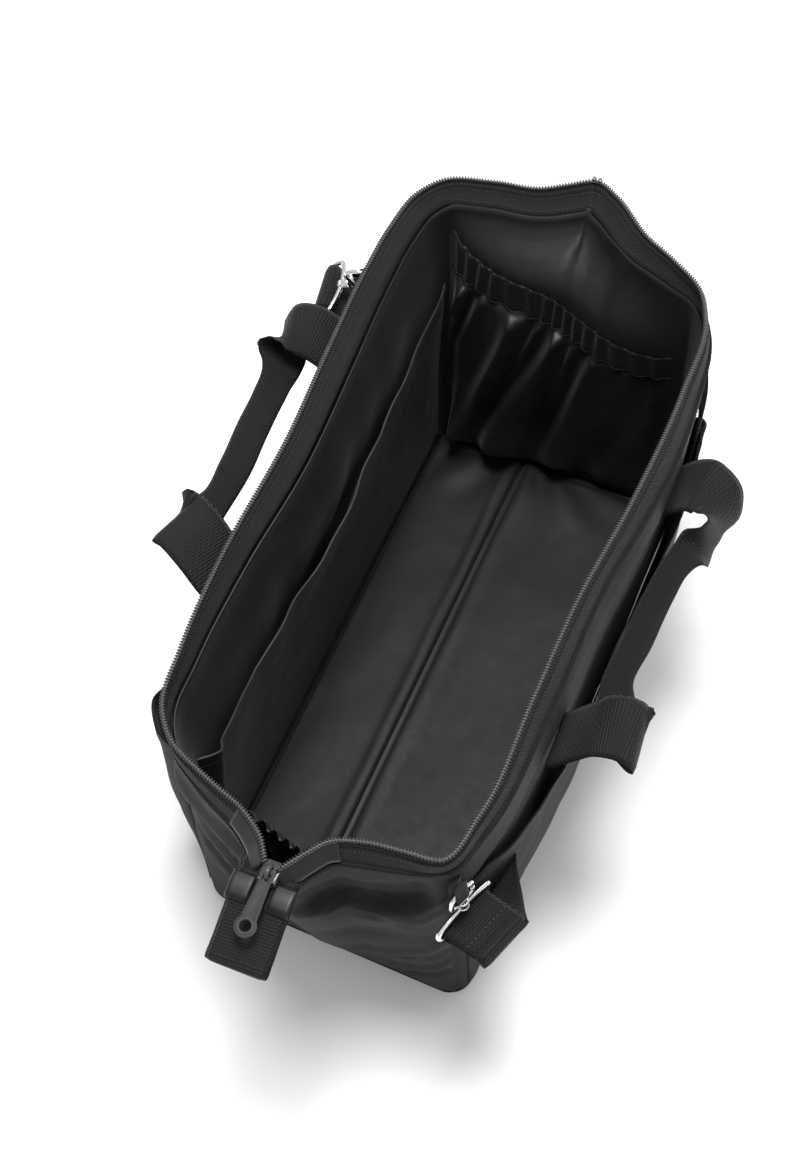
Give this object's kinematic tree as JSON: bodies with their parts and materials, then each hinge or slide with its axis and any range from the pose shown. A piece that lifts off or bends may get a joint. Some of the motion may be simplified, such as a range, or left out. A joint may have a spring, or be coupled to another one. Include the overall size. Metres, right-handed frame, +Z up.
{
  "type": "bowling bag",
  "caption": "Soft rectangular bag with a full-length zipped mouth held open, webbing handles, outer and inner pockets, a base board and a hook-on shoulder strap.",
  "frame": {"origin": "middle of the underside of the bottom panel", "axes": "+Z up, +X along the bag away from the zip slider, -Y towards the front wall"},
  "size_m": [0.6267, 0.3453, 0.2807],
  "materials": {
    "outer_cloth": "matte fine woven polyester",
    "lining_cloth": "smooth woven nylon with a satin sheen",
    "board_cover": "smooth woven nylon with a satin sheen",
    "elastic": "ribbed elastic",
    "webbing": "ribbed woven webbing",
    "zip_tape": "herringbone tape",
    "zip_coil": "moulded nylon coil",
    "slider_enamel": "gloss black enamel",
    "pull_enamel": "satin grey-black enamel",
    "stop_metal": "black stamped metal",
    "nickel": "bright nickel plate"
  },
  "bodies": {
    "bag": {"front_wall": "outer_cloth", "back_wall": "outer_cloth", "near_end_wall": "outer_cloth", "far_end_wall": "outer_cloth", "front_lining": "lining_cloth", "back_lining": "lining_cloth", "near_end_lining": "lining_cloth", "far_end_lining": "lining_cloth", "front_pocket": "outer_cloth", "back_pocket": "outer_cloth", "inner_slip_pocket": "lining_cloth", "far_elastic_pocket": "lining_cloth", "near_elastic_pocket": "lining_cloth", "far_pocket_elastic": "elastic", "near_pocket_elastic": "elastic", "front_zip_tape": "zip_tape", "front_zip_coil": "zip_coil", "back_zip_tape": "zip_tape", "back_zip_coil": "zip_coil", "bottom_panel": "outer_cloth", "floor_lining": "lining_cloth", "base_board_front": "board_cover", "zip_closed_end": "zip_coil", "zip_bottom_stop": "stop_metal", "zip_top_stops": "stop_metal", "zip_end_tab": "webbing", "zip_end_cover": "lining_cloth", "near_strap_hook": "nickel", "near_gate_pin": "nickel", "far_strap_hook": "nickel", "far_gate_pin": "nickel", "near_hook_tab": "webbing", "far_hook_tab": "webbing", "shoulder_strap": "webbing"},
    "board_leaf": {"base_board_back": "board_cover"},
    "slider": {"zip_slider": "slider_enamel"},
    "pull": {"pull_tab": "pull_enamel"},
    "front_handle": {"front_handle": "webbing"},
    "back_handle": {"back_handle": "webbing"},
    "near_ring": {"near_strap_ring": "nickel", "near_strap_end": "webbing"},
    "far_ring": {"far_strap_ring": "nickel", "far_strap_end": "webbing"},
    "near_gate": {"near_hook_gate": "nickel"},
    "far_gate": {"far_hook_gate": "nickel"}
  },
  "joints": [
    {"name": "base_board_lift", "type": "hinge", "parent": "bag", "child": "board_leaf", "pos_m": [0, 0.025, 0.0081], "axis": [1, 0, 0], "range_deg": [0, 80]},
    {"name": "slider_slide", "type": "slide", "parent": "bag", "child": "slider", "axis": [1, 0, 0], "range_m": [0, 0.004]},
    {"name": "pull_hinge", "type": "hinge", "parent": "slider", "child": "pull", "pos_m": [-0.2826, -0.012, 0.2774], "axis": [0, 1, 0], "range_deg": [0, 110]},
    {"name": "front_handle_swing", "type": "hinge", "parent": "bag", "child": "front_handle", "pos_m": [-0.008, -0.1325, 0.215], "axis": [1, 0, 0], "range_deg": [-45, 80]},
    {"name": "back_handle_swing", "type": "hinge", "parent": "bag", "child": "back_handle", "pos_m": [0.01, 0.106, 0.224], "axis": [1, 0, 0], "range_deg": [-86, 34]},
    {"name": "near_ring_swivel", "type": "hinge", "parent": "bag", "child": "near_ring", "pos_m": [-0.237, -0.1145, 0.212], "axis": [0, 0, 1], "range_deg": [-35, 8]},
    {"name": "far_ring_swivel", "type": "hinge", "parent": "bag", "child": "far_ring", "pos_m": [0.17, 0.147, 0.233], "axis": [0.1504, -0.8521, 0.5013], "range_deg": [-30, 30]},
    {"name": "near_gate_hinge", "type": "hinge", "parent": "bag", "child": "near_gate", "pos_m": [-0.22794, -0.11768, 0.2268], "axis": [-0.3309, -0.9437, 0], "range_deg": [0, 22], "stiffness_Nm_per_rad": 0.02, "springref_deg": -17.19},
    {"name": "far_gate_hinge", "type": "hinge", "parent": "bag", "child": "far_gate", "pos_m": [0.17305, 0.12965, 0.23211], "axis": [-0.9849, -0.1731, 0.0013], "range_deg": [0, 22], "stiffness_Nm_per_rad": 0.02, "springref_deg": -17.19}
  ]
}
